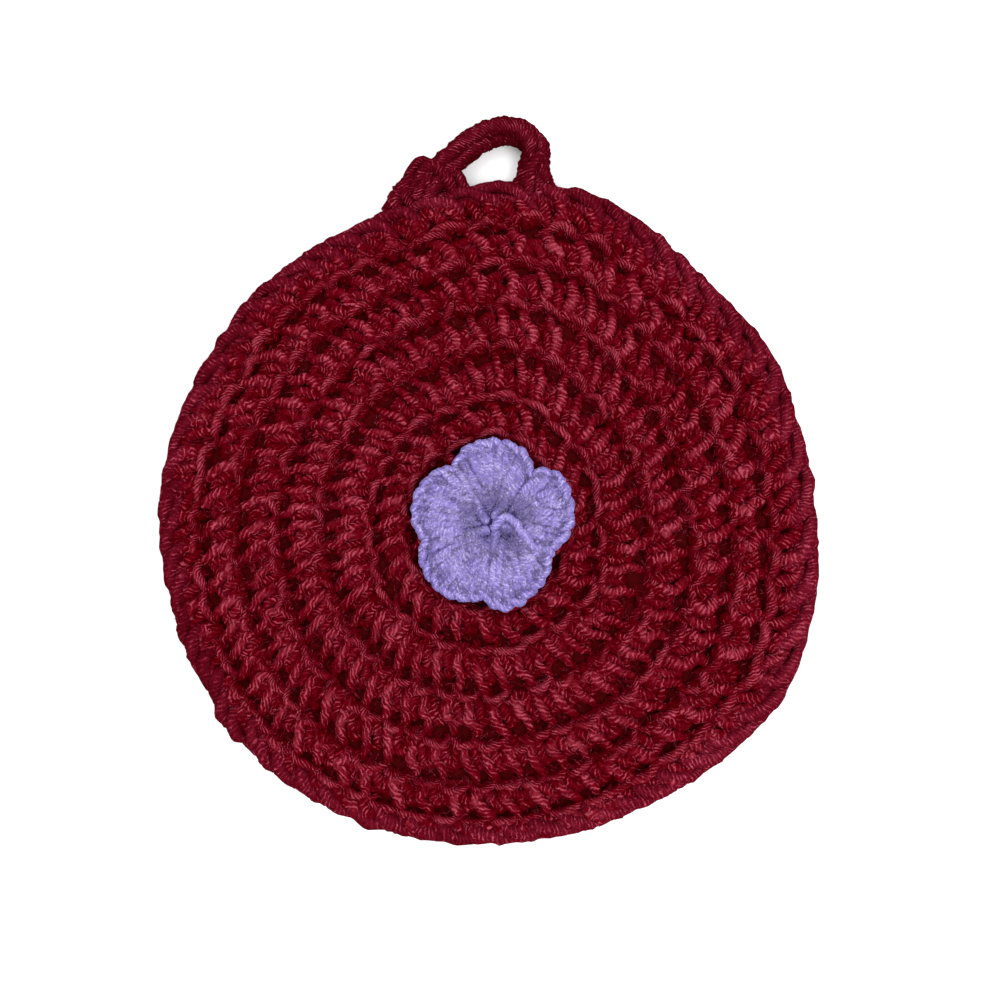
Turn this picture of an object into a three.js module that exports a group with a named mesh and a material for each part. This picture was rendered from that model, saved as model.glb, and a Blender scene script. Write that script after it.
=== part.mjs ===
// A crocheted pot holder: a thick round mat worked in rounds, a rope-like hanging loop at its
// top edge and a small five-petalled flower on its middle.
// Millimetres, +Z up. The origin is the centre of the rounds, on the flat underside, and the
// hanging loop points along +Y.

import * as THREE from 'three';

// ---------------------------------------------------------------- driving dimensions

const seatGap = 0.3;              // gap kept between one piece and the piece that carries it

const padThickness = 9;           // underside to the crests of the rounds
const rimInset = 4.6;             // how far the rounded rim reaches in from the outline
const grooveDepth = 1.7;          // the row of gaps between two rounds, below the crests
const postDip = 0.5;              // the middle of a round, below its crests
const padSegments = 90;           // steps round the mat
const rimSteps = 6;               // steps over the rounded rim

const loopRadius = 4.9;           // half the loop's thickness
const loopRestHeight = 4.6;       // the loop's centre line above the underside
const loopStrands = 3;            // strands laid side by side round the loop
const strandRelief = 0.13;        // depth of the valley between strands, as a share of the radius
const loopTwist = 0.75 * Math.PI; // how far the strands wind round from one foot to the other
const loopSteps = 40;             // sections along the loop
const pointsPerStrand = 6;        // points over one strand in a section

const flowerCentre = { x: 1.5, y: -1.5 };
const flowerThickness = 4.2;      // under side of a petal to its crest
const valleyRadius = 19.5;        // where two petals meet at the flower's outline
const petalSquareness = 0.42;     // 1 is a pointed lobe, smaller is a blunter petal
const petalValleyDepth = 1.3;     // furrow between two petals
const flowerDimple = 1.6;         // the hollow at the flower's middle
const flowerSegments = 90;        // steps round the flower

// The mat's outline, as uneven as hand work is: its radius every 15 degrees, anticlockwise
// from +X. It is fullest beside the loop's right foot, at 75 degrees.
const outlineStep = 15;
const outlineRadii = [
  96.7, 97.0, 99.1, 98.7, 101.8, 105.8, 104.2, 100.8, 99.3, 99.5, 97.8, 97.7,
  96.9, 95.6, 95.5, 95.1, 94.1, 92.8, 91.9, 92.1, 93.3, 96.1, 99.2, 98.2,
];

// The rounds of stitches, from the middle out. A round ends at a row of gaps, and its place
// is a share of the outline's radius, so that the rounds follow the uneven outline.
const rounds = [
  { round: 1, outerShare: 0.115 },
  { round: 2, outerShare: 0.225 },
  { round: 3, outerShare: 0.335 },
  { round: 4, outerShare: 0.48 },
  { round: 5, outerShare: 0.613 },
  { round: 6, outerShare: 0.743 },
  { round: 7, outerShare: 0.855 },
];

// The loop's feet: where each one meets the mat's rim, and how far the uneven rim rises
// there towards one side of the foot's square end.
const loopFeet = {
  right: { angle: 82, unevenness: 0.16 },
  left: { angle: 103, unevenness: 0.5 },
};

// The loop's centre line between its feet, from the right foot over the top to the left foot.
const loopRoute = [
  { x: 14.0, y: 112.4 },
  { x: 13.0, y: 117.3 },
  { x: 9.8, y: 120.7 },
  { x: 4.6, y: 121.6 },
  { x: -3.2, y: 118.7 },
  { x: -10.3, y: 114.2 },
  { x: -16.6, y: 109.4 },
];

// The petals, anticlockwise from the one on the right: where each starts and ends, in
// degrees, and how far it reaches from the flower's centre.
const petals = [
  { start: -26, end: 54, reach: 25.6 },
  { start: 54, end: 124, reach: 26.0 },
  { start: 124, end: 192, reach: 25.0 },
  { start: 192, end: 263, reach: 25.2 },
  { start: 263, end: 334, reach: 24.6 },
];

// The flower's section from its underside over the outer edge to its middle: share of the
// petal's reach, share of the flower's thickness, and how much of the furrow shows there.
const flowerSection = [
  { across: 0.93, height: 0, furrow: 0 },
  { across: 1.0, height: 0.38, furrow: 0 },
  { across: 0.97, height: 0.78, furrow: 0.5 },
  { across: 0.86, height: 1.0, furrow: 1 },
  { across: 0.62, height: 0.96, furrow: 1 },
  { across: 0.36, height: 0.9, furrow: 0.7 },
  { across: 0.14, height: 0.72, furrow: 0 },
];

// ---------------------------------------------------------------- helpers

const radians = THREE.MathUtils.degToRad;

/** The cubic that passes through b and c, with a and d as their outer neighbours. */
function smoothBetween(a, b, c, d, t) {
  const slopeB = (c - a) / 2;
  const slopeC = (d - b) / 2;
  const cubic = 2 * (b - c) + slopeB + slopeC;
  const square = 3 * (c - b) - 2 * slopeB - slopeC;
  return ((cubic * t + square) * t + slopeB) * t + b;
}

/** The mat's radius at an angle in radians. */
function outlineRadius(angle) {
  const count = outlineRadii.length;
  const place = THREE.MathUtils.radToDeg(angle) / outlineStep;
  const index = Math.floor(place);
  const radiusAt = (step) => outlineRadii[(((index + step) % count) + count) % count];
  return smoothBetween(radiusAt(-1), radiusAt(0), radiusAt(1), radiusAt(2), place - index);
}

/** Adds the two triangles of every cell between one closed ring of vertices and the next. */
function stitchRings(triangles, firstRing, secondRing, count) {
  for (let i = 0; i < count; i += 1) {
    const next = (i + 1) % count;
    triangles.push(firstRing + i, firstRing + next, secondRing + next);
    triangles.push(firstRing + i, secondRing + next, secondRing + i);
  }
}

/** A closed solid of rings with the same number of points, with a middle point at each end. */
function ringedSolid(startPoint, rings, endPoint) {
  const count = rings[0].length;
  const points = [startPoint, ...rings.flat(), endPoint];
  const triangles = [];
  const ringStart = (ring) => 1 + ring * count;
  const lastRing = rings.length - 1;
  for (let i = 0; i < count; i += 1) {
    const next = (i + 1) % count;
    triangles.push(0, ringStart(0) + next, ringStart(0) + i);
    triangles.push(points.length - 1, ringStart(lastRing) + i, ringStart(lastRing) + next);
  }
  for (let ring = 0; ring < lastRing; ring += 1) {
    stitchRings(triangles, ringStart(ring), ringStart(ring + 1), count);
  }
  const geometry = new THREE.BufferGeometry().setFromPoints(points);
  geometry.setIndex(triangles);
  geometry.computeVertexNormals();
  return geometry;
}

/** One named mesh with its own plain yarn colour. */
function yarnMesh(name, geometry, color) {
  const material = new THREE.MeshStandardMaterial({ color, roughness: 0.9, metalness: 0 });
  const mesh = new THREE.Mesh(geometry, material);
  mesh.name = name;
  return mesh;
}

// ---------------------------------------------------------------- the mat

/** The rim's section, from the flat underside round to the crest of the last round. */
function rimSection() {
  const section = [];
  for (let step = 0; step <= rimSteps; step += 1) {
    const turn = -Math.PI / 2 + (Math.PI * step) / rimSteps;
    const height = (padThickness / 2) * (1 + Math.sin(turn));
    section.push({ share: 1, inset: rimInset * (1 - Math.cos(turn)), height });
  }
  return section;
}

/** The top's section, from the rim in: two crests, a dip between them and a groove a round. */
function roundsSection() {
  const section = [];
  let outer = 1;
  for (const { outerShare } of [...rounds].reverse()) {
    const width = outer - outerShare;
    if (outer < 1) {
      section.push({ share: outer - 0.22 * width, inset: 0, height: padThickness });
    }
    section.push({ share: outer - 0.5 * width, inset: 0, height: padThickness - postDip });
    section.push({ share: outer - 0.78 * width, inset: 0, height: padThickness });
    section.push({ share: outerShare, inset: 0, height: padThickness - grooveDepth });
    outer = outerShare;
  }
  return section;
}

function padRing({ share, inset, height }) {
  const ring = [];
  for (let step = 0; step < padSegments; step += 1) {
    const angle = (2 * Math.PI * step) / padSegments;
    const radius = share * outlineRadius(angle) - inset;
    ring.push(new THREE.Vector3(radius * Math.cos(angle), radius * Math.sin(angle), height));
  }
  return ring;
}

function makePad() {
  const rings = [...rimSection(), ...roundsSection()].map(padRing);
  const bottomMiddle = new THREE.Vector3(0, 0, 0);
  const topMiddle = new THREE.Vector3(0, 0, padThickness);
  return yarnMesh('pad', ringedSolid(bottomMiddle, rings, topMiddle), 0x6d0f2c);
}

// ---------------------------------------------------------------- the hanging loop

/** A point straight out from the mat's rim at a foot, at a distance clear of it. */
function footPoint({ angle }, distance) {
  const turn = radians(angle);
  const radius = outlineRadius(turn) + distance;
  return new THREE.Vector3(radius * Math.cos(turn), radius * Math.sin(turn), loopRestHeight);
}

function loopCurve() {
  const footRise = 3;
  const overTheTop = loopRoute.map(({ x, y }) => new THREE.Vector3(x, y, loopRestHeight));
  return new THREE.CatmullRomCurve3([
    footPoint(loopFeet.right, seatGap + loopFeet.right.unevenness),
    footPoint(loopFeet.right, footRise + loopFeet.right.unevenness),
    ...overTheTop,
    footPoint(loopFeet.left, footRise + loopFeet.left.unevenness),
    footPoint(loopFeet.left, seatGap + loopFeet.left.unevenness),
  ], false, 'centripetal');
}

/** One section of the loop: strands round its middle, level where it lies on the table. */
function loopRing(centre, direction, along) {
  const upright = new THREE.Vector3(0, 0, 1);
  const sideways = new THREE.Vector3().crossVectors(upright, direction).normalize();
  const count = loopStrands * pointsPerStrand;
  const ring = [];
  for (let step = 0; step < count; step += 1) {
    const overStrands = (2 * Math.PI * step) / count;
    const crest = Math.abs(Math.cos((loopStrands * overStrands) / 2));
    const radius = loopRadius * (1 - strandRelief + strandRelief * crest);
    const turn = overStrands + loopTwist * along;
    const point = centre.clone()
      .addScaledVector(sideways, radius * Math.cos(turn))
      .addScaledVector(upright, radius * Math.sin(turn));
    point.z = Math.max(point.z, 0);
    ring.push(point);
  }
  return ring;
}

function makeLoop() {
  const curve = loopCurve();
  const rings = [];
  for (let step = 0; step <= loopSteps; step += 1) {
    const along = step / loopSteps;
    rings.push(loopRing(curve.getPointAt(along), curve.getTangentAt(along), along));
  }
  const geometry = ringedSolid(curve.getPointAt(0), rings, curve.getPointAt(1));
  return yarnMesh('hanging_loop', geometry, 0x74122f);
}

// ---------------------------------------------------------------- the flower

/** How far through its petal an angle in degrees lies, and that petal. */
function petalAt(angle) {
  for (const petal of petals) {
    const turned = THREE.MathUtils.euclideanModulo(angle - petal.start, 360);
    if (turned < petal.end - petal.start) {
      return { petal, through: turned / (petal.end - petal.start) };
    }
  }
  return { petal: petals[0], through: 0 };
}

function flowerPoint({ across, height, furrow }, angle) {
  const { petal, through } = petalAt(angle);
  const lobe = Math.sin(Math.PI * through) ** petalSquareness;
  const radius = across * (valleyRadius + (petal.reach - valleyRadius) * lobe);
  const sunk = petalValleyDepth * furrow * (1 - lobe);
  const turn = radians(angle);
  return new THREE.Vector3(
    radius * Math.cos(turn),
    radius * Math.sin(turn),
    flowerThickness * height - sunk,
  );
}

function makeFlower() {
  const rings = flowerSection.map((row) => {
    const ring = [];
    for (let step = 0; step < flowerSegments; step += 1) {
      ring.push(flowerPoint(row, petals[0].start + (360 * step) / flowerSegments));
    }
    return ring;
  });
  const underMiddle = new THREE.Vector3(0, 0, 0);
  const topMiddle = new THREE.Vector3(0, 0, flowerThickness - flowerDimple);
  const flower = yarnMesh('flower', ringedSolid(underMiddle, rings, topMiddle), 0x8f7fc8);
  flower.position.set(flowerCentre.x, flowerCentre.y, padThickness + seatGap);
  return flower;
}

// ---------------------------------------------------------------- the pot holder

const group = new THREE.Group();
group.add(makePad());
group.add(makeLoop());
group.add(makeFlower());

export default group;
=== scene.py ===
"""The crocheted pot holder's looks: its stitches strand by strand, its curled edge, the
rope-like hanging loop and the lilac flower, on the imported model's frame. Helpers work in
millimetres, and make_strands and lathe turn them into metres."""

import math

import bpy
import numpy as np
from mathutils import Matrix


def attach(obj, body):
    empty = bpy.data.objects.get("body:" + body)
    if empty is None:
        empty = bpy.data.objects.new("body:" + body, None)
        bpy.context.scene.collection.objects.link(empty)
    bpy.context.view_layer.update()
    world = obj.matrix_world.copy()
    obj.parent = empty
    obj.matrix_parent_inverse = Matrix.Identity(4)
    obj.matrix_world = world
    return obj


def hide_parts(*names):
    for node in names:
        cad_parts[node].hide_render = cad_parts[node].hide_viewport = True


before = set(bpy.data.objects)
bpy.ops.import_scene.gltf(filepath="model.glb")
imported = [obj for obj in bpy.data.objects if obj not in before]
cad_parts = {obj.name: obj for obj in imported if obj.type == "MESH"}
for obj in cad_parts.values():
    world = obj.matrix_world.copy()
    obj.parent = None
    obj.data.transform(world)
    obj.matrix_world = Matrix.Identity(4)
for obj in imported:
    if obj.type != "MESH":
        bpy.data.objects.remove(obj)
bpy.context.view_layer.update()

# ------------------------------------------------------------------ driving sizes, in mm

MM = 0.001
PAD_THICKNESS = 9.0
MID_HEIGHT = PAD_THICKNESS / 2
PLY_SPACING = 1.20            # between two ply lines, along a strand
SIDE_SHADE = 0.16             # how much lighter a strand's crest is, and darker its flanks: painted highlight and shade
BAND_SHADE = 0.14             # the same for the yarn that arches over the gaps
LUMPINESS = 0.11              # how uneven a strand's surface is, as a share of its radius
PRESSED = 0.4                 # how near the table the yarn is pressed flat
UP = (0.0, 0.0, 1.0)
DOWN = (0.0, 0.0, -1.0)
SEED = 7
lumps = np.random.default_rng(SEED + 1)     # for the strands' surfaces and plies

# How many ply lines wind round each kind of strand. The sign is the way they lean.
POST_PLIES = 2
LEG_PLIES = -4
FILL_PLIES = 4
BAND_PLIES = -7
EDGE_PLIES = -4
LOOP_PLIES = -12
FOOT_PLIES = -6
PETAL_PLIES = 4
CHAIN_PLIES = -4
# Round one side of the mat the plies run more along the posts: how many there are at the
# middle of that side, and how much longer their turns are.
STEEP_PLIES = 7
STEEPER = 0.8

# The rounds from the middle out: where each starts and ends, as shares of the rim's radius,
# and how many stitches it has.
ROUNDS = [
    {"inner": 0.115, "outer": 0.225, "stitches": 17},
    {"inner": 0.225, "outer": 0.335, "stitches": 26},
    {"inner": 0.335, "outer": 0.480, "stitches": 44},
    {"inner": 0.480, "outer": 0.613, "stitches": 53},
    {"inner": 0.613, "outer": 0.743, "stitches": 57},
    {"inner": 0.743, "outer": 0.855, "stitches": 58},
    {"inner": 0.855, "outer": 1.000, "stitches": 62},
]
EVENING_OUT = 6               # how many times a round's stitches are evened out
STEP_BACK = 0.012             # how far each round leans back from the one before it
CROWDING = 0.15               # how much closer the stitches are on one side
CROWDED_SIDE = math.radians(205)
# The rounds lie off the rim's middle, by so much in mm, and are taller than wide.
OFF_MIDDLE = (-1.3, -3.3)
TALLER = 1.5
USUAL_PITCH = 8.5             # of the stitches that the radii below are for
USUAL_EDGE = 14.0             # width of the last round that the links below are for
RIM_MEAN = 97.0               # the rim's usual radius
GAP_ACROSS = 0.2              # where the gap beside a neck is, in pitches from the stitch
GAP_OUT = 1.02                # and as a share of the round's height
GAP_REACH = 2.8               # how far from its middle a gap's painted shade reaches, in mm
GAP_SHADE = 0.22              # and how much
HEIGHT_LIGHT = 0.07           # how much lighter yarn is for each mm that it is higher, as painted shade
LIT_HEIGHT = 7.0              # and the height where it has the lightness given below
RIM_TONE = 0.35               # lightness of the felted rim
RIM_LIT = 0.15                # and how much more where it faces the light, as painted light
LIT_SIDE = math.radians(-38)          # where round the rim it faces the light
SCALLOPED_SIDE = math.radians(228)    # where the rim is uneven and the plies are steep

# How much the stitches differ from each other: their lean and place, the points of their
# strands, and each strand's radius and lightness.
LEAN_SCATTER = 0.12
OUT_SCATTER = 0.045
HEIGHT_SCATTER = 0.18
POINT_SCATTER = (0.06, 0.032)
RADIUS_SCATTER = 0.05
TONE_SCATTER = 0.05

# One stitch: across in pitches (clockwise is right), out in shares of the round's height,
# the strand's middle above the underside and its radius, both in mm, and its lightness,
# which paints light on the raised parts and shade on the deeper ones.
POST = [
    (-0.40, 1.20, 4.8, 1.2, 0.36),
    (-0.36, 1.08, 6.2, 1.5, 0.46),
    (-0.30, 0.96, 7.0, 1.7, 0.52),
    (-0.16, 0.84, 7.3, 1.8, 0.58),
    (0.00, 0.71, 7.3, 1.85, 0.67),
    (0.06, 0.57, 7.1, 1.9, 0.67),
    (0.07, 0.42, 6.7, 1.85, 0.52),
    (0.06, 0.24, 5.2, 1.5, 0.32),
]
INNER_LEG = [
    (-0.64, 0.84, 5.6, 1.4, 0.36),
    (-0.52, 0.72, 6.4, 1.8, 0.42),
    (-0.38, 0.55, 6.6, 1.95, 0.47),
    (-0.26, 0.38, 6.4, 1.8, 0.38),
    (-0.16, 0.20, 5.2, 1.4, 0.34),
]
ARCH = [
    (-1.00, 0.68, 5.4, 1.4, 0.34),
    (-0.82, 0.76, 6.3, 1.6, 0.42),
    (-0.58, 0.80, 6.4, 1.6, 0.46),
    (-0.34, 0.86, 6.1, 1.5, 0.40),
]
FILL = [
    (-0.86, 0.20, 5.4, 1.6, 0.28),
    (-0.82, 0.40, 6.2, 2.1, 0.31),
    (-0.76, 0.58, 6.3, 2.1, 0.33),
    (-0.70, 0.74, 5.6, 1.7, 0.30),
]
# The yarn that arches over the gap outside each stitch, from one neck to the next.
BAND_LINK = [
    (-0.52, 1.06, 4.8, 1.0, 0.38),
    (-0.28, 1.21, 6.4, 1.25, 0.52),
    (0.02, 1.31, 7.1, 1.45, 0.62),
    (0.34, 1.33, 7.1, 1.45, 0.64),
    (0.66, 1.22, 6.2, 1.25, 0.52),
    (0.86, 1.06, 4.8, 1.0, 0.38),
]
# The stitches of the last round, whose tops go under the edge.
EDGE_POST = [
    (-0.34, 0.74, 5.8, 1.5, 0.42),
    (-0.22, 0.66, 6.9, 1.7, 0.48),
    (-0.06, 0.57, 7.2, 1.9, 0.56),
    (0.03, 0.48, 7.2, 1.9, 0.58),
    (0.06, 0.38, 6.7, 1.8, 0.50),
    (0.06, 0.20, 5.2, 1.5, 0.38),
]
EDGE_LEG = [
    (-0.70, 0.68, 5.8, 1.6, 0.42),
    (-0.56, 0.57, 6.6, 1.8, 0.46),
    (-0.42, 0.44, 6.7, 1.9, 0.50),
    (-0.28, 0.30, 6.4, 1.8, 0.44),
    (-0.16, 0.16, 5.2, 1.5, 0.38),
]
EDGE_FILL = [
    (-0.86, 0.16, 5.2, 1.6, 0.36),
    (-0.82, 0.34, 6.2, 1.9, 0.40),
    (-0.78, 0.52, 6.4, 1.9, 0.42),
    (-0.74, 0.68, 5.9, 1.7, 0.38),
]
# The strands that run right round under a round's stitches: how far out, and their radius.
BEDS = [(0.28, 1.7), (0.56, 2.2)]
BED_HEIGHT = 5.2
BED_TONE = 0.34
# One link of the edge: across in pitches, inwards from the rim in mm, above the mat's
# middle in mm, and its radius.
EDGE_LINK = [
    (0.24, 8.6, 1.7, 1.5),
    (0.10, 6.6, 2.7, 1.9),
    (-0.12, 4.7, 3.0, 2.1),
    (-0.44, 3.1, 2.5, 2.2),
    (-0.84, 2.1, 1.3, 2.1),
    (-1.25, 2.9, 0.3, 1.6),
]
LINK_INSET = 2.1              # how far in the outermost point of a link is
EDGE_BED_INSET = 3.6          # how much further in the strand under the links is
EDGE_BED_RADIUS = 2.3
EDGE_BED_TONE = 0.36

# The middle line of the loop, from its right foot to its left: x and y.
LOOP_ROUTE = [
    (14.2, 100.5),
    (14.2, 106.5),
    (13.9, 111.6),
    (14.1, 115.2),
    (12.6, 118.8),
    (8.8, 121.5),
    (4.0, 122.0),
    (-2.2, 120.0),
    (-8.2, 115.4),
    (-13.2, 110.4),
    (-17.8, 105.0),
    (-20.4, 98.5),
]
LOOP_HEIGHT = 4.6
LOOP_STRANDS = 3
LOOP_STRAND_RADIUS = 2.75
LOOP_STRAND_OFFSET = 2.05
LOOP_START = 0.35             # how far the strands are turned at the right foot
LOOP_TWIST = 0.75 * math.pi   # and how much further by the left one
LOOP_FLATNESS = 0.8           # how thick the loop is against its width
LOOP_TONE = 0.20
LOOP_SHADE = 0.24             # the loop's own SIDE_SHADE
# Strands that lace the loop's feet to the rim: x, y, height and radius.
FOOT_STRANDS = [
    [(9.6, 101.5, 4.6, 1.6), (12.2, 107.0, 7.6, 1.9), (15.2, 111.2, 8.2, 1.9),
     (16.6, 115.6, 5.6, 1.5)],
    [(18.6, 101.5, 4.6, 1.6), (16.6, 107.2, 7.4, 1.9), (13.4, 111.6, 7.7, 1.9),
     (11.4, 116.4, 5.6, 1.5)],
    [(20.6, 101.6, 4.6, 1.6), (17.9, 106.2, 5.0, 1.6), (16.6, 111.4, 4.8, 1.6)],
    [(6.4, 101.2, 4.6, 1.6), (9.6, 106.0, 5.0, 1.6), (10.6, 111.2, 4.8, 1.6)],
    [(-31.6, 95.6, 4.8, 1.5), (-28.4, 100.2, 5.4, 1.8), (-25.2, 104.8, 5.8, 1.9),
     (-22.4, 109.4, 6.2, 1.9), (-19.8, 111.2, 6.4, 1.7), (-16.4, 108.6, 6.2, 1.6)],
    [(-10.6, 100.6, 5.0, 1.9), (-13.2, 105.8, 7.2, 2.2), (-17.8, 109.0, 7.6, 2.1),
     (-21.4, 105.0, 6.8, 1.9), (-25.4, 99.0, 5.4, 1.7)],
    [(-23.0, 96.5, 5.0, 2.0), (-25.8, 101.4, 6.0, 2.1), (-24.2, 106.0, 6.2, 1.9)],
    [(-27.6, 94.5, 5.0, 2.3), (-28.6, 98.6, 5.4, 2.5), (-26.8, 103.0, 5.8, 1.9)],
    [(-6.4, 100.4, 4.4, 1.9), (-8.8, 105.2, 4.8, 2.1), (-11.4, 110.0, 5.0, 2.0)],
    [(-17.6, 100.4, 5.0, 2.0), (-19.0, 105.4, 6.6, 2.2), (-20.0, 109.4, 6.0, 1.9)],
]

FLOWER_CENTRE = np.array([1.5, -1.5])
FLOWER_UNDERSIDE = 9.3
# Each petal's edges in degrees and where its posts fan out from, in mm.
PETALS = [
    (-26, 54, (7.4, 1.2)),
    (54, 124, (2.4, 3.6)),
    (124, 192, (-2.4, 0.8)),
    (192, 263, (-0.6, -4.6)),
    (263, 334, (5.6, -4.6)),
]
# The edge of the petal that laps over the rest, curling in to the middle: x, y and height.
CURL = [(18.8, -10.0, 11.0), (15.4, -8.9, 11.9), (12.4, -7.2, 12.3), (10.0, -4.0, 12.5),
        (8.0, -1.1, 12.6), (5.2, 0.6, 12.3), (3.0, -0.8, 11.9), (1.6, -3.0, 11.2)]
# How far the stitched edge lies outside the solid's, in mm, at angles in degrees.
PETAL_TRIMS = [(0, -1.9), (12, -1.3), (24, -0.9), (33, 0.2), (42, 0.3), (50, -0.6), (57, -1.2),
               (64, -0.8), (72, -0.5), (100, -0.3), (180, -0.3), (255, 0.0), (276, 2.0),
               (284, 0.7), (300, -1.1), (318, -1.9), (330, -2.6), (346, -2.5)]
POSTS_PER_PETAL = 15
CHAINS_PER_PETAL = 7

# The yarns' colours from deep in the strands to their lightest fibres.
BURGUNDY = [
    (0.00, (0.056, 0.0000, 0.0006)),
    (0.25, (0.070, 0.0001, 0.0022)),
    (0.48, (0.096, 0.0009, 0.0050)),
    (0.65, (0.132, 0.0056, 0.0124)),
    (0.85, (0.198, 0.0186, 0.0340)),
    (1.00, (0.280, 0.0425, 0.0655)),
]
# The yarn of the rim and the loop is felted and hazy.
HAZY_BURGUNDY = [
    (0.00, (0.046, 0.0005, 0.0022)),
    (0.25, (0.062, 0.0013, 0.0050)),
    (0.48, (0.092, 0.0029, 0.0092)),
    (0.65, (0.130, 0.0066, 0.0165)),
    (0.85, (0.197, 0.0178, 0.0365)),
    (1.00, (0.290, 0.0440, 0.0710)),
]
LILAC = [
    (0.05, (0.102, 0.068, 0.265)),
    (0.45, (0.178, 0.139, 0.370)),
    (0.75, (0.262, 0.215, 0.470)),
    (1.00, (0.376, 0.324, 0.630)),
]
# How much of the light goes into a yarn, how far it spreads there in mm, and the shares of
# that for each colour.
GLOW_SHARE = 0.4
GLOW_REACH = 1.2
RED_GLOW = (1.0, 0.5, 0.5)
BLUE_GLOW = (0.6, 0.6, 1.0)
# The painted highlights along the plies' ridges: how far the lines wander, in lines, how narrow
# they are, and how light they are on the whole.
LINE_WANDER = 2.5
LINE_NARROWNESS = 3.0
LINE_MEAN = 0.27
TUFT_SHARE = 0.6              # how strong the tufts are, against the fibres
PATCH_SHARE = 0.5             # how much the colour changes from place to place


# ------------------------------------------------------------------ the outlines

def outline_of(node, centre, height):
    """Angles and radii in mm of a CAD node's ring at a height, about a centre."""
    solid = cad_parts[node]
    points = np.array([solid.matrix_world @ v.co for v in solid.data.vertices]) / MM
    ring = points[np.abs(points[:, 2] - height) < 0.2]
    angles = np.arctan2(ring[:, 1] - centre[1], ring[:, 0] - centre[0]) % (2 * np.pi)
    radii = np.hypot(ring[:, 0] - centre[0], ring[:, 1] - centre[1])
    order = np.argsort(angles)
    return angles[order], radii[order]


RIM = outline_of("pad", (0.0, 0.0), MID_HEIGHT)


def rim_radius(angle):
    """The mat's outline, a little fuller beside and under the loop than the solid's."""
    angle = np.asarray(angle) % (2 * np.pi)
    fuller = (0.7 * np.exp(-((angle - math.radians(68)) / 0.2) ** 2)
              + 0.6 * np.exp(-((angle - math.radians(90)) / 0.12) ** 2))
    return np.interp(angle, RIM[0], RIM[1], period=2 * np.pi) + fuller


PETAL_RING = outline_of("flower", FLOWER_CENTRE, 10.9)


def petal_radius(angle):
    """The flower's outline: the solid's, with each petal's edge drawn in or out a little."""
    angle = np.asarray(angle) % (2 * np.pi)
    solid = np.interp(angle, PETAL_RING[0], PETAL_RING[1], period=2 * np.pi)
    places, trims = zip(*PETAL_TRIMS)
    return solid + np.interp(np.degrees(angle), places, trims, period=360)


# ------------------------------------------------------------------ strands of yarn

def smooth(controls, samples):
    """Catmull-Rom curves through controls of shape (strands, points, values)."""
    controls = np.asarray(controls, dtype=float)
    count = controls.shape[1]
    first = 2 * controls[:, :1] - controls[:, 1:2]
    last = 2 * controls[:, -1:] - controls[:, -2:-1]
    padded = np.concatenate([first, controls, last], axis=1)
    place = np.linspace(0, count - 1, samples)
    index = np.minimum(place.astype(int), count - 2)
    t = (place - index)[None, :, None]
    a, b, c, d = (padded[:, index + k] for k in range(4))
    return 0.5 * (2 * b + (c - a) * t + (2 * a - 5 * b + 4 * c - d) * t ** 2
                  + (3 * b - a - 3 * c + d) * t ** 3)


def unit(vectors):
    """The vectors at length 1."""
    return vectors / np.maximum(np.linalg.norm(vectors, axis=-1, keepdims=True), 1e-9)


def turning_frames(paths, seam):
    """Two directions square to each path that don't spin along it, the first near seam."""
    tangents = unit(np.gradient(paths, axis=1))
    guide = np.tile(np.array(seam, dtype=float), (paths.shape[0], 1))
    steep = np.abs(tangents[:, 0] @ np.array(seam)) > 0.95
    guide[steep] = [1.0, 0.0, 0.0]
    normals = np.empty_like(paths)
    for i in range(paths.shape[1]):
        tangent = tangents[:, i]
        guide = unit(guide - tangent * np.sum(guide * tangent, axis=1, keepdims=True))
        normals[:, i] = guide
    return normals, np.cross(tangents, normals)


def tube_faces(steps, sides):
    """One closed tube's quads, cap triangles and the (side, step) of each quad corner."""
    step, side = np.meshgrid(np.arange(steps - 1), np.arange(sides), indexing="ij")
    after = (side + 1) % sides
    quads = np.stack([
        step * sides + side,
        step * sides + after,
        (step + 1) * sides + after,
        (step + 1) * sides + side,
    ], axis=-1).reshape(-1, 4)
    corner_side = np.stack([side, side + 1, side + 1, side], axis=-1).reshape(-1)
    corner_step = np.stack([step, step, step + 1, step + 1], axis=-1).reshape(-1)
    rim = np.arange(sides)
    end = (steps - 1) * sides
    caps = np.concatenate([
        np.stack([np.full(sides, steps * sides), (rim + 1) % sides, rim], axis=-1),
        np.stack([np.full(sides, steps * sides + 1), end + rim, end + (rim + 1) % sides], axis=-1),
    ])
    return quads, caps, corner_side, corner_step


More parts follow.
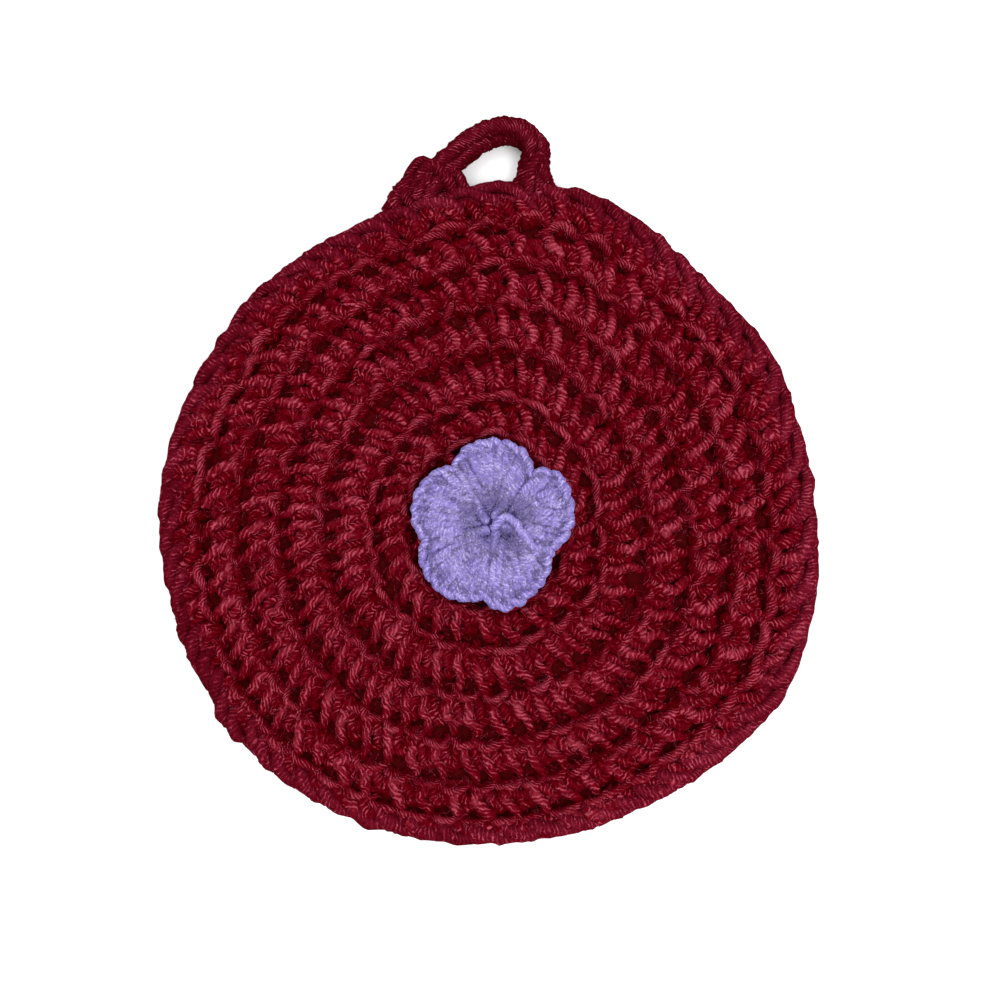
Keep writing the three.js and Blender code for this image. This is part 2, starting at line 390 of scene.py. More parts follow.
def tubes(paths, radii, plies, tones, sides=8, seam=DOWN, shade=SIDE_SHADE, steep=1.0):
    """Closed strands along paths (strands, points, 3): plies is how many ply lines wind
    round a strand, its sign their lean, tones how light each strand or point is, shade how
    much lighter its crest and darker its flanks are, as painted highlight and shade, and steep
    how stretched the plies are along it."""
    strands, steps, _ = paths.shape
    radii = np.broadcast_to(radii, (strands, steps))
    tones = np.broadcast_to(tones, (strands, steps))
    normals, sideways = turning_frames(paths, seam)
    turn = np.arange(sides) * 2 * np.pi / sides
    ring = (normals[:, :, None] * np.cos(turn)[None, None, :, None]
            + sideways[:, :, None] * np.sin(turn)[None, None, :, None])
    rough = lumps.normal(0, LUMPINESS, (strands, steps, sides))
    uneven = 1 + (rough + np.roll(rough, 1, axis=1) + np.roll(rough, 1, axis=2)) / 2
    body = paths[:, :, None] + ring * (radii[:, :, None] * uneven)[..., None]
    tangents = unit(np.gradient(paths, axis=1))
    start = paths[:, :1] - tangents[:, :1] * radii[:, :1, None] * 0.5
    end = paths[:, -1:] + tangents[:, -1:] * radii[:, -1:, None] * 0.5
    vertices = np.concatenate([body.reshape(strands, -1, 3), start, end], axis=1)

    # Painted highlight on each strand's crest and painted shade on its flanks.
    crest = np.maximum(-(ring @ np.array(seam)), 0) ** 3
    body_tones = tones[:, :, None] + shade * (2 * crest - 1)
    vertex_tones = np.concatenate([
        body_tones.reshape(strands, -1), tones[:, :1], tones[:, -1:]], axis=1)

    stretches = np.linalg.norm(np.diff(paths, axis=1), axis=2)
    lengths = np.concatenate([np.zeros((strands, 1)), np.cumsum(stretches, axis=1)], axis=1)
    lengths = lengths * lumps.uniform(0.82, 1.15, (strands, 1)) + lumps.uniform(0, 9, (strands, 1))
    lengths = lengths / steep

    quads, caps, corner_side, corner_step = tube_faces(steps, sides)
    offsets = (np.arange(strands) * (steps * sides + 2))[:, None, None]
    across = (np.ones((strands, 1)) * plies * corner_side / sides).reshape(-1)
    quad_uvs = np.stack([across, lengths[:, corner_step].reshape(-1)], axis=-1)
    cap_along = np.repeat(lengths[:, [0, -1]], sides * 3, axis=1).reshape(-1)
    return {
        "vertices": vertices.reshape(-1, 3),
        "quads": (quads[None] + offsets).reshape(-1, 4),
        "caps": (caps[None] + offsets).reshape(-1, 3),
        "quad_uvs": quad_uvs,
        "cap_uvs": np.stack([np.zeros_like(cap_along), cap_along], axis=-1),
        "tones": vertex_tones.reshape(-1),
    }


def joined(parts):
    """The strands' arrays as one set, their faces renumbered."""
    starts = np.cumsum([0] + [len(part["vertices"]) for part in parts[:-1]])
    whole = {key: np.concatenate([part[key] for part in parts])
             for key in ("vertices", "quad_uvs", "cap_uvs", "tones")}
    for key in ("quads", "caps"):
        whole[key] = np.concatenate([part[key] + s for part, s in zip(parts, starts)])
    return whole


def make_strands(name, parts, material):
    """One piece from strands, with its ply coordinates and tones. Yarn that would reach the
    table is pressed flat above it."""
    yarn = joined(parts)
    low = np.minimum(yarn["vertices"][:, 2], PRESSED)
    yarn["vertices"][:, 2] += PRESSED * np.exp((low - PRESSED) / PRESSED) - low
    quads, caps = yarn["quads"], yarn["caps"]
    mesh = bpy.data.meshes.new(name)
    mesh.vertices.add(len(yarn["vertices"]))
    mesh.vertices.foreach_set("co", (yarn["vertices"] * MM).ravel())
    mesh.loops.add(quads.size + caps.size)
    mesh.loops.foreach_set("vertex_index", np.concatenate([quads.ravel(), caps.ravel()]))
    mesh.polygons.add(len(quads) + len(caps))
    mesh.polygons.foreach_set("loop_start", np.concatenate([
        np.arange(len(quads)) * 4, quads.size + np.arange(len(caps)) * 3]))
    mesh.update(calc_edges=True)
    mesh.validate()
    uvs = np.concatenate([yarn["quad_uvs"], yarn["cap_uvs"]])
    mesh.uv_layers.new(name="yarn").data.foreach_set("uv", uvs.ravel())
    # Each point's lightness: its random tone, with painted highlight and shade.
    tone = mesh.attributes.new("tone", "FLOAT", "POINT")
    tone.data.foreach_set("value", yarn["tones"])
    mesh.polygons.foreach_set("use_smooth", np.ones(len(mesh.polygons), dtype=bool))
    return finish_piece(name, mesh, material)


def finish_piece(name, mesh, material):
    """An object of the mesh, riding on the part's body."""
    piece = bpy.data.objects.new(name, mesh)
    bpy.context.scene.collection.objects.link(piece)
    mesh.materials.append(material)
    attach(piece, "root")
    return piece


# ------------------------------------------------------------------ materials

class Nodes:
    """Short calls for building a material's nodes."""

    def __init__(self, name):
        self.material = bpy.data.materials.new(name)
        self.material.use_nodes = True
        self.tree = self.material.node_tree
        self.shader = self.tree.nodes["Principled BSDF"]

    def add(self, kind, inputs=(), **settings):
        """A node whose inputs are values or other nodes' outputs."""
        node = self.tree.nodes.new(kind)
        for key, value in settings.items():
            setattr(node, key, value)
        for socket, value in dict(inputs).items():
            if isinstance(value, bpy.types.NodeSocket):
                self.tree.links.new(value, node.inputs[socket])
            else:
                node.inputs[socket].default_value = value
        return node

    def maths(self, operation, *values):
        """The result of one operation on the values."""
        return self.add("ShaderNodeMath", enumerate(values), operation=operation).outputs[0]

    def noise(self, vector, scale, detail=2.0, roughness=0.5):
        """A noise about 0.5 at a point."""
        return self.add("ShaderNodeTexNoise", {
            "Vector": vector, "Scale": scale, "Detail": detail, "Roughness": roughness,
        }).outputs[0]

    def ramp(self, level, stops):
        """A colour ramp through (position, colour) stops."""
        node = self.add("ShaderNodeValToRGB", {0: level})
        elements = node.color_ramp.elements
        elements.remove(elements[1])
        elements[0].position, elements[0].color = stops[0][0], (*stops[0][1], 1)
        for position, colour in stops[1:]:
            elements.new(position).color = (*colour, 1)
        return node.outputs[0]

    def shade(self, socket, value):
        """Sets or links one input of the surface shader."""
        if isinstance(value, bpy.types.NodeSocket):
            self.tree.links.new(value, self.shader.inputs[socket])
        else:
            self.shader.inputs[socket].default_value = value


def ply_ridges(n, across, along, position):
    """The ply lines' phase, which wanders a little, and their ridges from 0 to 1."""
    wander = n.noise(position, 360.0, 4.0, 0.6)
    phase = n.maths("ADD", across, n.maths("DIVIDE", along, PLY_SPACING))
    phase = n.maths("ADD", phase, n.maths("MULTIPLY", wander, LINE_WANDER))
    wave = n.maths("COSINE", n.maths("MULTIPLY", phase, 2 * math.pi))
    return phase, n.maths("MULTIPLY_ADD", wave, 0.5, 0.5)


def ply_highlights(n, ridge, tufts, position, share):
    """Painted highlights: thin light lines on the plies' ridges, ragged, and clearer in some
    places than others.
    """
    crest = n.maths("POWER", ridge, LINE_NARROWNESS)
    crest = n.maths("MULTIPLY", crest, n.maths("MULTIPLY_ADD", tufts, 3.0, -0.5))
    clear = n.maths("MULTIPLY_ADD", n.noise(position, 430.0, 3.0), 4.4, -1.4)
    clear = n.maths("MINIMUM", n.maths("MAXIMUM", clear, 0.1), 1.4)
    lines = n.maths("MULTIPLY", n.maths("SUBTRACT", crest, LINE_MEAN), share)
    return n.maths("MULTIPLY", lines, clear)


def yarn_material(name, stops, ply_highlight_share, fibre_share, ply_depth, glow):
    """Plied yarn: slanted ply ridges round each strand with painted highlights along them, fine
    fibres and uneven colour.
    """
    n = Nodes(name)
    split = n.add("ShaderNodeSeparateXYZ", {0: n.add("ShaderNodeUVMap", uv_map="yarn").outputs[0]})
    across, along = split.outputs[0], split.outputs[1]
    position = n.add("ShaderNodeTexCoord").outputs["Object"]
    phase, ridge = ply_ridges(n, across, along, position)
    laid = n.add("ShaderNodeCombineXYZ", {
        0: n.maths("MULTIPLY", phase, 2.4),
        1: n.maths("MULTIPLY", along, 0.25),
        2: n.maths("MULTIPLY", across, 0.6),
    }).outputs[0]
    fibres = n.noise(laid, 2.6, 4.0, 0.75)
    specks = n.noise(position, 1900.0, 3.0, 0.7)
    tufts = n.noise(position, 620.0, 3.0, 0.7)
    patches = n.noise(position, 150.0, 2.0)
    # The points' lightness, with painted highlight and shade in it.
    tone = n.add("ShaderNodeAttribute", attribute_name="tone").outputs["Fac"]
    level = n.maths("ADD", tone, ply_highlights(n, ridge, tufts, position, ply_highlight_share))
    unevenness = [(fibres, fibre_share), (specks, fibre_share),
                  (tufts, TUFT_SHARE * fibre_share), (patches, PATCH_SHARE)]
    for noise, share in unevenness:
        uneven = n.maths("MULTIPLY", n.maths("SUBTRACT", noise, 0.5), share)
        level = n.maths("ADD", level, uneven)
    n.shade("Base Color", n.ramp(level, stops))
    height = n.maths("ADD", ridge, n.maths("MULTIPLY", fibres, 0.7))
    height = n.maths("ADD", height, n.maths("MULTIPLY", specks, 0.5))
    bump = n.add("ShaderNodeBump", {
        "Height": height, "Strength": 1.0, "Distance": ply_depth * MM})
    n.shade("Normal", bump.outputs[0])
    n.shade("Roughness", 0.85)
    n.shade("Specular IOR Level", 0.0)
    n.shade("Subsurface Weight", GLOW_SHARE)
    n.shade("Subsurface Radius", glow)
    n.shade("Subsurface Scale", GLOW_REACH * MM)
    return n.material


def core_material(name, deep, middle):
    """Felted yarn seen at the bottom of the gaps, darkened as painted shade."""
    n = Nodes(name)
    position = n.add("ShaderNodeTexCoord").outputs["Object"]
    tufts = n.noise(position, 900.0, 4.0, 0.7)
    clumps = n.noise(position, 220.0)
    n.shade("Base Color", n.ramp(tufts, [(0.35, deep), (0.65, middle)]))
    height = n.maths("ADD", tufts, clumps)
    bump = n.add("ShaderNodeBump", {"Height": height, "Strength": 1.0, "Distance": 0.6 * MM})
    n.shade("Normal", bump.outputs[0])
    n.shade("Roughness", 0.9)
    n.shade("Specular IOR Level", 0.05)
    return n.material


# ------------------------------------------------------------------ the mat's rounds

def next_round(even, count, random):
    """The places of a round's stitches, worked into those of the round before it: some
    of those take two, and all of them are then evened out a little."""
    extra = count - len(even)
    pairs = (np.arange(extra) + random.uniform(0.2, 0.8, extra)) * len(even) / max(extra, 1)
    parents = np.sort(np.concatenate([np.arange(len(even)), pairs.astype(int)]))
    twin = np.concatenate([parents[1:] == parents[:-1], [False]])
    gap = 2 * np.pi / count
    places = even[parents] + gap * (0.25 * np.roll(twin, 1) - 0.25 * twin)
    for _ in range(EVENING_OUT):
        before = np.roll(places, 1)
        before[0] -= 2 * np.pi
        after = np.roll(places, -1)
        after[-1] += 2 * np.pi
        places = 0.5 * places + 0.25 * (before + after)
    return places


def stitch_places(even, random):
    """Angles round the mat of a round's stitches, closer together on the crowded side, and
    their pitches."""
    even = even + random.normal(0, 0.03, len(even)) * 2 * np.pi / len(even)
    angles = np.sort((even + CROWDING * np.sin(even - CROWDED_SIDE - np.pi)) % (2 * np.pi))
    gaps = np.diff(np.concatenate([angles, angles[:1] + 2 * np.pi]))
    return angles, (gaps + np.roll(gaps, 1)) / 2


def points_at(angles, radii, heights, flip):
    """Points in mm from angles, radii and heights; flip puts them on the underside."""
    if flip:
        heights = PAD_THICKNESS - heights
    return np.stack(np.broadcast_arrays(
        radii * np.cos(angles), radii * np.sin(angles), heights), axis=-1)


def round_radius(row, angle, out):
    """Where a round is at an angle, out being 0 at its foot and 1 at its top."""
    share = row["inner"] + (row["outer"] - row["inner"]) * out
    shift = (OFF_MIDDLE[0] * np.cos(angle) + OFF_MIDDLE[1] * np.sin(angle)
             - TALLER * np.cos(2 * np.asarray(angle)))
    part = np.interp(share, [0.115, 0.335, 0.613, 0.87, 1.0], [0.3, 0.7, 1.0, 1.0, 0.0])
    return rim_radius(angle) * share + shift * part


def edge_room(angle):
    """How wide the last round is at an angle, against its usual width."""
    width = rim_radius(angle) - round_radius(ROUNDS[-1], angle, 0.0)
    return np.clip(width / USUAL_EDGE, 0.6, 1.2)


def gap_shade(row, controls, pitch):
    """How much darker the yarn is near the gaps between the necks of a round: painted shade."""
    turns = controls[..., 0] - GAP_ACROSS
    across = (turns - np.round(turns)) * pitch[:, None] * RIM_MEAN * row["outer"]
    out = (controls[..., 1] - GAP_OUT) * (row["outer"] - row["inner"]) * RIM_MEAN
    return GAP_SHADE * np.exp(-(across ** 2 + out ** 2) / GAP_REACH ** 2)


def round_strands(row, places, kinds, flip, random):
    """Every stitch of a round: one set of strands for each kind. A kind is its template, its
    plies, how much the gaps' painted shade darkens it, its crest's painted highlight and
    shade, and its steps and sides."""
    angles, pitch = places
    count = len(angles)
    lean = random.normal(0, LEAN_SCATTER, (count, 1))
    shift = random.normal(0, OUT_SCATTER, (count, 1))
    lift = random.normal(0, HEIGHT_SCATTER, (count, 1))
    crowd = np.clip(pitch[:, None] * round_radius(row, angles, 0.5)[:, None] / USUAL_PITCH,
                    0.75, 1.15) ** 0.6
    sets = []
    for template, plies, shaded, shade, steps, sides in kinds:
        shape = np.array(template)
        jitter = random.normal(0, 1, (count, len(template), 2)) * POINT_SCATTER
        across = shape[:, 0] + lean * (shape[:, 1] - 0.5) + jitter[:, :, 0]
        out = shape[:, 1] + shift + jitter[:, :, 1]
        heights = shape[:, 2] + lift
        controls = np.stack(
            np.broadcast_arrays(across, out, heights, shape[:, 3], shape[:, 4]), axis=-1)
        controls = smooth(controls, steps)
        strand_angle = angles[:, None] - controls[..., 0] * pitch[:, None]
        radii = round_radius(row, strand_angle, controls[..., 1])
        paths = points_at(strand_angle, radii, controls[..., 2], flip)
        thick = controls[..., 3] * crowd * (1 + random.normal(0, RADIUS_SCATTER, (count, 1)))
        # Each point's lightness, with painted shade on lower yarn and near the gaps.
        tones = (controls[..., 4] - 0.05 + random.normal(0, TONE_SCATTER, (count, 1))
                 + HEIGHT_LIGHT * (controls[..., 2] - LIT_HEIGHT)
                 - shaded * gap_shade(row, controls, pitch))
        # The last round is a little darker, with painted light on the side of the rim facing the
        # light.
        if row is ROUNDS[-1]:
            tones = tones - 0.07 + RIM_LIT * lit(strand_angle)
        leaning = np.maximum(np.cos(angles[:, None] - SCALLOPED_SIDE), 0) * (plies > 0)
        wound = plies + np.round((STEEP_PLIES - plies) * leaning)
        steep = 1 + STEEPER * leaning
        sets.append(tubes(paths, thick, wound, tones, sides, UP if flip else DOWN, shade, steep))
    return sets


def bed_strand(row, places, out, radius, flip, random):
    """Yarn that runs right round the mat under a round, waving from stitch to stitch. It
    closes on itself by running a little past its start."""
    angles, _ = places
    steps = len(angles) * 5
    turn = np.linspace(0, 2 * np.pi * (1 + 0.5 / steps), steps)
    phase = np.interp(turn, angles, np.arange(len(angles)), period=2 * np.pi) * 2 * np.pi
    waver = np.interp(turn % (2 * np.pi), np.linspace(0, 2 * np.pi, 60),
                      random.normal(0, 0.03, 60), period=2 * np.pi)
    radii = round_radius(row, turn, out + 0.03 * np.cos(phase) + waver)
    heights = BED_HEIGHT + 0.3 * np.cos(phase + 0.8)
    paths = points_at(turn, radii, heights, flip)[None]
    thick = radius * (1 + 0.07 * np.sin(phase + 0.5))[None]
    plies = -BAND_PLIES if flip else BAND_PLIES
    return tubes(paths, thick, plies, BED_TONE, 8, UP if flip else DOWN)


def make_face(face, materials, random):
    """The posts, inner strands and bands of one face of the mat, and the places of the last
    round's stitches."""
    flip = face == "back"
    post_steps, post_sides = (9, 6) if flip else (18, 10)
    inner_steps, inner_sides = (7, 6) if flip else (11, 8)
    posts, inner, bands = [], [], []
    even = np.arange(ROUNDS[0]["stitches"]) * 2 * np.pi / ROUNDS[0]["stitches"]
    for index, row in enumerate(ROUNDS):
        edge = index == len(ROUNDS) - 1
        if index:
            even = next_round(even, row["stitches"], random) - STEP_BACK
        places = stitch_places(even, random)
        post, leg, fill = (EDGE_POST, EDGE_LEG, EDGE_FILL) if edge else (POST, INNER_LEG, FILL)
        kinds = [
            (post, POST_PLIES, 0.8, SIDE_SHADE, post_steps, post_sides),
            (leg, LEG_PLIES, 1.0, SIDE_SHADE, inner_steps, inner_sides),
            (fill, FILL_PLIES, 1.0, SIDE_SHADE, inner_steps, inner_sides),
        ]
        if not edge:
            kinds.append((ARCH, LEG_PLIES, 1.0, SIDE_SHADE, inner_steps, inner_sides))
        sets = round_strands(row, places, kinds, flip, random)
        posts.append(sets[0])
        inner.extend(sets[1:])
        if not edge:
            plies = -BAND_PLIES if flip else BAND_PLIES
            link = [(BAND_LINK, plies, 0.2, BAND_SHADE, post_steps, post_sides)]
            bands.extend(round_strands(row, places, link, flip, random))
        for out, radius in BEDS:
            bands.append(bed_strand(row, places, out, radius, flip, random))
    burgundy = materials["burgundy"]
    pieces = [
        make_strands(f"{face}_posts", posts, burgundy),
        make_strands(f"{face}_inner_strands", inner, burgundy),
        make_strands(f"{face}_bands", bands, burgundy),
    ]
    return pieces, places


def lit(angle):
    """How much the rim faces the light: 1 on the lit side, 0 away from it."""
    return np.maximum(np.cos(angle - LIT_SIDE), 0) ** 2


def scalloped(angle):
    """Where the rim is more uneven: 1 at the middle of that part, 0 away from it."""
    return np.maximum(np.cos(angle - SCALLOPED_SIDE), 0) ** 4


def edge_links(places, flip, random):
    """Half of the chain along the curled rim, one link for each stitch of the last round."""
    angles, pitch = places
    count = len(angles)
    shape = np.array(EDGE_LINK)[None].repeat(count, axis=0)
    controls = shape + random.normal(0, 1, shape.shape) * [0.05, 0.08, 0.1, 0.04]
    controls = smooth(controls, 18)
    strand_angle = angles[:, None] - controls[..., 0] * pitch[:, None]
    uneven = random.normal(0, 1, (count, 1)) * (0.12 + 0.35 * scalloped(angles)[:, None])
    inset = LINK_INSET + (controls[..., 1] - LINK_INSET) * edge_room(strand_angle) + uneven
    radii = rim_radius(strand_angle) - inset
    paths = points_at(strand_angle, radii, MID_HEIGHT + controls[..., 2], flip)
    # Painted light on the side of the rim facing the light.
    tones = RIM_TONE + RIM_LIT * lit(strand_angle)
    tones = tones + random.normal(0, 0.05, (count, 1))
    return tubes(paths, controls[..., 3], EDGE_PLIES, tones, 10, UP if flip else DOWN)


def make_edge(places, materials, random):
    """The chain along both halves of the rim, the strand between them and those under them."""
    steps = 360
    turn = np.linspace(0, 2 * np.pi * (1 + 0.5 / steps), steps)
    waver = np.interp(turn % (2 * np.pi), np.linspace(0, 2 * np.pi, 90),
                      random.normal(0, 0.18, 90), period=2 * np.pi)
    radii = rim_radius(turn) - 1.8 - 0.5 * scalloped(turn) + waver
    middle = points_at(turn, radii, np.full(steps, MID_HEIGHT), False)
    parts = [edge_links(places[0], False, random), edge_links(places[1], True, random)]
    parts.append(tubes(middle[None], 1.9, BAND_PLIES, 0.5, 10))
    for flip in (False, True):
        inset = LINK_INSET + EDGE_BED_INSET * edge_room(turn)
        bed = points_at(turn, rim_radius(turn) - inset, np.full(steps, MID_HEIGHT + 1.2), flip)
        parts.append(tubes(bed[None], EDGE_BED_RADIUS, EDGE_PLIES, EDGE_BED_TONE, 10,
                           UP if flip else DOWN))
    return make_strands("edge_chain", parts, materials["rim"])


def lathe(name, profile, outline, centre, steps, material):
    """A closed piece turned about a centre: profile rows are (share of the outline, inset in
    mm, height), the first and last of them on the middle."""
    turn = np.arange(steps) * 2 * np.pi / steps
    bottom, *rings, top = profile
    points = [[(centre[0], centre[1], bottom[2])]]
    for share, inset, height in rings:
        radius = outline(turn) * share - inset
        points.append(np.stack([centre[0] + radius * np.cos(turn),
                                centre[1] + radius * np.sin(turn), np.full(steps, height)], -1))
    points.append([(centre[0], centre[1], top[2])])
    vertices = np.concatenate(points) * MM
    final = len(vertices) - 1
    start = 1 + (len(rings) - 1) * steps
    faces = []
    for i in range(steps):
        j = (i + 1) % steps
        faces.append((0, 1 + j, 1 + i))
        for k in range(len(rings) - 1):
            a = 1 + k * steps
            faces.append((a + i, a + j, a + steps + j, a + steps + i))
        faces.append((start + i, start + j, final))
    mesh = bpy.data.meshes.new(name)
    mesh.from_pydata(vertices.tolist(), [], faces)
    mesh.update()
    mesh.polygons.foreach_set("use_smooth", np.ones(len(mesh.polygons), dtype=bool))
    return finish_piece(name, mesh, material)


def make_core(materials):
    """The closed core between the two faces of stitches, seen only through the gaps."""
    low, high = 4.1, 4.9
    shares = np.linspace(0.06, 0.92, 22)
    profile = [(0, 0, low)]
    profile += [(share, 0.0, low) for share in shares]
    profile += [(1.0, 3.2, low), (1.0, 2.6, MID_HEIGHT), (1.0, 3.2, high)]
    profile += [(share, 0.0, high) for share in shares[::-1]]
    profile += [(0, 0, high)]
    return lathe("mat_core", profile, rim_radius, (0.0, 0.0), 180, materials["core"])


# ------------------------------------------------------------------ the hanging loop

def make_loop(materials, random):
    """Thick strands wound together, and the strands that lace the feet to the rim."""
    steps = 90
    route = np.array(LOOP_ROUTE)
    centre = smooth(np.column_stack([route, np.full(len(route), LOOP_HEIGHT)])[None], steps)[0]
    tangents = unit(np.gradient(centre, axis=0))
    sideways = unit(np.cross(UP, tangents))
    along = np.linspace(0, 1, steps)
    paths, thick = [], []
    for strand in range(LOOP_STRANDS):
        turn = 2 * np.pi * strand / LOOP_STRANDS + LOOP_TWIST * along + LOOP_START
        out = LOOP_STRAND_OFFSET * np.cos(turn)
        up = LOOP_FLATNESS * LOOP_STRAND_OFFSET * np.sin(turn)
        path = centre + sideways * out[:, None]
        path[:, 2] += up
        paths.append(path)
        wobble = np.interp(along, np.linspace(0, 1, 12), random.normal(0, 0.12, 12))
        thick.append(LOOP_STRAND_RADIUS + wobble)
    paths, thick = np.array(paths), np.array(thick)
    parts = [tubes(paths, thick, LOOP_PLIES, LOOP_TONE, 18, shade=LOOP_SHADE)]
    for strand in FOOT_STRANDS:
        controls = smooth(np.array(strand)[None], 20)
        parts.append(tubes(controls[..., :3], controls[..., 3], FOOT_PLIES, LOOP_TONE, 10))
    return make_strands("loop_strands", parts, materials["loop"])


# ------------------------------------------------------------------ the flower

def flower_points(angles, radii, heights):
    """Points in mm from angles and radii about the flower's centre, and heights."""
    return np.stack(np.broadcast_arrays(
        FLOWER_CENTRE[0] + radii * np.cos(angles),
        FLOWER_CENTRE[1] + radii * np.sin(angles), heights), axis=-1)


def petal_posts(start, end, root, random):
    """The strands that fan out from a petal's root to its edge."""
    count = POSTS_PER_PETAL
    middle = math.radians((start + end) / 2)
    share = (np.arange(count) + 0.5) / count - 0.5 + random.normal(0, 0.015, count)
    tip_angle = middle + share * math.radians(end - start) * 1.02
    tip = flower_points(tip_angle, petal_radius(tip_angle) - 1.9, 0.0)[:, :2]
    leaving = middle + share * math.radians(230)
    near = root + 1.6 * np.column_stack([np.cos(leaving), np.sin(leaving)])
    along = np.array([0.0, 0.2, 0.45, 0.75, 1.0])
    spot = near[:, None] + (tip - near)[:, None] * along[None, :, None]
    spot = spot + random.normal(0, 0.25, spot.shape)
    level = np.array([1.0, 2.0, 2.4, 2.3, 1.5]) + random.normal(0, 0.13, (count, 5))
    thick = np.broadcast_to([0.9, 1.3, 1.65, 1.8, 1.6], level.shape)
    controls = np.concatenate([
        spot, (FLOWER_UNDERSIDE + level)[..., None], thick[..., None]], axis=-1)
    controls = smooth(controls, 22)
    # Painted shade: the lower a post lies, the darker it is.
    tones = 0.51 + random.normal(0, 0.04, (count, 1)) + 0.06 * (controls[..., 2] - 11.6)
    return tubes(controls[..., :3], controls[..., 3], PETAL_PLIES, tones, 9)


def petal_chain(start, end, random):
    """The links of chain along a petal's edge."""
    count = CHAINS_PER_PETAL
    pitch = math.radians(end - start) / count
    across = np.arange(count)[:, None] + np.array([-0.25, 0.2, 0.7, 1.15])
    across = across + random.normal(0, 0.05, across.shape)
    inset = np.array([2.9, 1.6, 1.25, 2.3]) + random.normal(0, 0.12, (count, 4))
    height = FLOWER_UNDERSIDE + np.array([2.2, 2.6, 2.0, 1.2]) + random.normal(0, 0.1, (count, 4))
    angle = math.radians(start) + across * pitch
    points = flower_points(angle, petal_radius(angle) - inset, height)
    points = smooth(points, 12)
    tones = 0.52 + random.normal(0, 0.03, (count, 1))
    return tubes(points, 1.3, CHAIN_PLIES, tones, 8)


def petal_seam(angle):
    """The low edge of one petal where it lies against the next."""
    radii = np.array([19.2, 13.0, 7.8, 3.9, 2.0])
    turn = math.radians(angle) + np.array([0.0, -0.03, 0.10, 0.3, 0.5])
    heights = FLOWER_UNDERSIDE + np.array([1.2, 1.7, 1.8, 1.8, 1.4])
    points = smooth(flower_points(turn, radii, heights)[None], 26)
    return tubes(points, 1.5, CHAIN_PLIES, 0.48, 10)


def petal_curl():
    """The curled-in edge of the petal that laps over the rest."""
    points = smooth(np.array(CURL)[None], 36)
    # Painted shade: the lower the curl lies, the darker it is.
    tones = 0.54 + 0.05 * (points[..., 2] - 12.0)
    return tubes(points, 1.45, CHAIN_PLIES, tones, 10)


def make_flower(materials, random):
    """The flower: a thin backing, dark as painted shade, the posts of its petals, and their
    chained edges.
    """
    under = FLOWER_UNDERSIDE
    profile = [(0, 0, under), (0.4, 0.0, under), (0.8, 0.0, under), (1.0, 2.2, under),
               (1.0, 1.5, under + 0.7), (1.0, 2.4, under + 1.3), (0.8, 0.0, under + 1.4),
               (0.4, 0.0, under + 1.4), (0, 0, under + 1.4)]
    backing = lathe("flower_backing", profile, petal_radius, FLOWER_CENTRE, 120,
                    materials["lilac_core"])
    parts = []
    for start, end, root in PETALS:
        parts.append(petal_posts(start, end, root, random))
        parts.append(petal_chain(start, end, random))
        parts.append(petal_seam(start))
    parts.append(petal_curl())
    petals = make_strands("flower_petals", parts, materials["lilac"])
    return backing, petals


# ------------------------------------------------------------------ loose fibres

def mat_spots(count, random):
    """Where loose fibres start on the mat, in mm."""
    angle = random.uniform(0, 2 * np.pi, count)
    share = np.sqrt(random.uniform(0.06, 0.96, count))
    height = np.interp(share, [0.93, 1.0], [8.5, 5.0])
    return points_at(angle, rim_radius(angle) * share, height, False)


def petal_spots(count, random):
    """Where loose fibres start on the flower, in mm."""
    angle = random.uniform(0, 2 * np.pi, count)
    share = np.sqrt(random.uniform(0.02, 0.86, count))
    height = np.interp(share, [0.85, 1.0], [13.0, 11.5])
    return flower_points(angle, petal_radius(angle) * share, height)


def make_fibres(name, first, arch, length, material, random):
    """Loose fibres lying on the yarn, from their first points, rising by arch in mm."""
    count = len(first)
    heading = random.uniform(0, 2 * np.pi, count)
    bend = random.normal(0, 0.5, (count, 1))
    reach = random.uniform(0.5, 1.0, (count, 1)) * length
    along = np.linspace(0, 1, 4)
    turn = heading[:, None] + bend * along
    flat = np.stack([np.cos(turn), np.sin(turn)], -1) * (reach * along)[..., None]
    rise = np.sin(np.pi * along) * arch
    points = np.concatenate([flat, np.broadcast_to(rise, turn.shape)[..., None]], axis=-1)
    points = points + first[:, None]
    tones = random.uniform(0.4, 0.8, (count, 1))
    return make_strands(name, [tubes(points, 0.07, 1, tones, 3)], material)


# ------------------------------------------------------------------ stage, light and camera

def make_stage():
    """A plain pale floor."""
    bpy.ops.mesh.primitive_plane_add(size=6, location=(0, 0, -0.0002))
    floor = bpy.context.object
    floor.name = "floor"
    n = Nodes("pale_floor")
    n.shade("Base Color", (0.93, 0.93, 0.93, 1))
    n.shade("Roughness", 0.9)
    floor.data.materials.append(n.material)


def make_light(name, location, size, power):
    """A square lamp that faces the mat's middle."""
    data = bpy.data.lights.new(name, "AREA")
    data.size = size
    data.energy = power
    lamp = bpy.data.objects.new(name, data)
    lamp.location = location
    direction = -lamp.location
    lamp.rotation_euler = direction.to_track_quat("-Z", "Y").to_euler()
    bpy.context.scene.collection.objects.link(lamp)


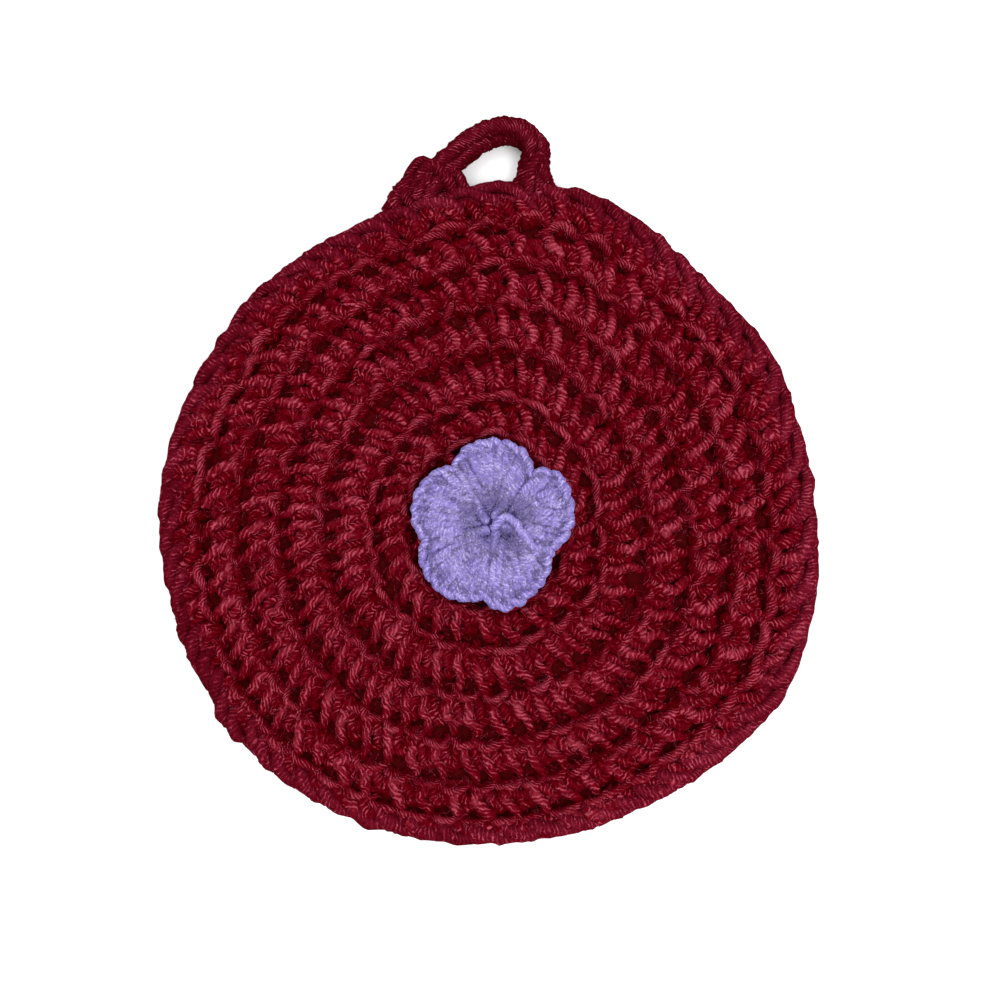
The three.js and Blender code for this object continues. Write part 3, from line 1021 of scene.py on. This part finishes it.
def make_lights():
    """Soft light from two sides, and a bright surround that leaves the floor white."""
    make_light("key_light", (0.55, -0.55, 1.0), 0.9, 14)
    make_light("fill_light", (-0.6, 0.6, 1.1), 1.0, 8)
    world = bpy.data.worlds.new("studio")
    world.use_nodes = True
    world.node_tree.nodes["Background"].inputs[0].default_value = (1, 1, 1, 1)
    world.node_tree.nodes["Background"].inputs[1].default_value = 1.10
    bpy.context.scene.world = world
    bpy.context.scene.view_settings.view_transform = "Standard"


def make_camera():
    """The photo's view: nearly straight down, tilted 8 degrees towards the near edge."""
    elevation = math.radians(82)
    distance = 0.351
    aim = np.array([0.0035, 0.0062, 0.008])
    back = np.array([0.0, -math.cos(elevation), math.sin(elevation)])
    data = bpy.data.cameras.new("camera")
    data.sensor_width = 36
    data.lens = 43.2
    camera = bpy.data.objects.new("camera", data)
    camera.location = aim + back * distance
    camera.rotation_euler = (math.pi / 2 - elevation, 0, 0)
    bpy.context.scene.collection.objects.link(camera)
    bpy.context.scene.camera = camera


# ------------------------------------------------------------------ the scene

def make_materials():
    """The yarns, by what is made of them."""
    return {
        "burgundy": yarn_material("burgundy_yarn", BURGUNDY, 0.57, 0.46, 0.18, RED_GLOW),
        "rim": yarn_material("burgundy_rim", HAZY_BURGUNDY, 0.42, 0.8, 0.20, RED_GLOW),
        "loop": yarn_material("burgundy_loop", HAZY_BURGUNDY, 0.62, 0.9, 0.20, RED_GLOW),
        # The cores are darker than the yarn above them, as painted shade in the gaps.
        "core": core_material("burgundy_core", (0.036, 0.0000, 0.0003), (0.064, 0.0001, 0.0012)),
        "lilac": yarn_material("lilac_yarn", LILAC, 0.34, 1.3, 0.26, BLUE_GLOW),
        "lilac_core": core_material("lilac_core", (0.030, 0.022, 0.075), (0.090, 0.068, 0.200)),
    }


def main():
    random = np.random.default_rng(SEED)
    materials = make_materials()
    make_camera()
    make_lights()
    make_stage()
    core = make_core(materials)
    front, front_places = make_face("front", materials, random)
    back, back_places = make_face("back", materials, random)
    edge = make_edge((front_places, back_places), materials, random)
    loop = make_loop(materials, random)
    backing, petals = make_flower(materials, random)
    mat_fibres = make_fibres("mat_fibres", mat_spots(6000, random), 0.7, 2.3,
                             materials["burgundy"], random)
    petal_fibres = make_fibres("petal_fibres", petal_spots(3400, random), 0.3, 1.5,
                               materials["lilac"], random)
    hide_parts("pad")
    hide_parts("hanging_loop")
    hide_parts("flower")


main()
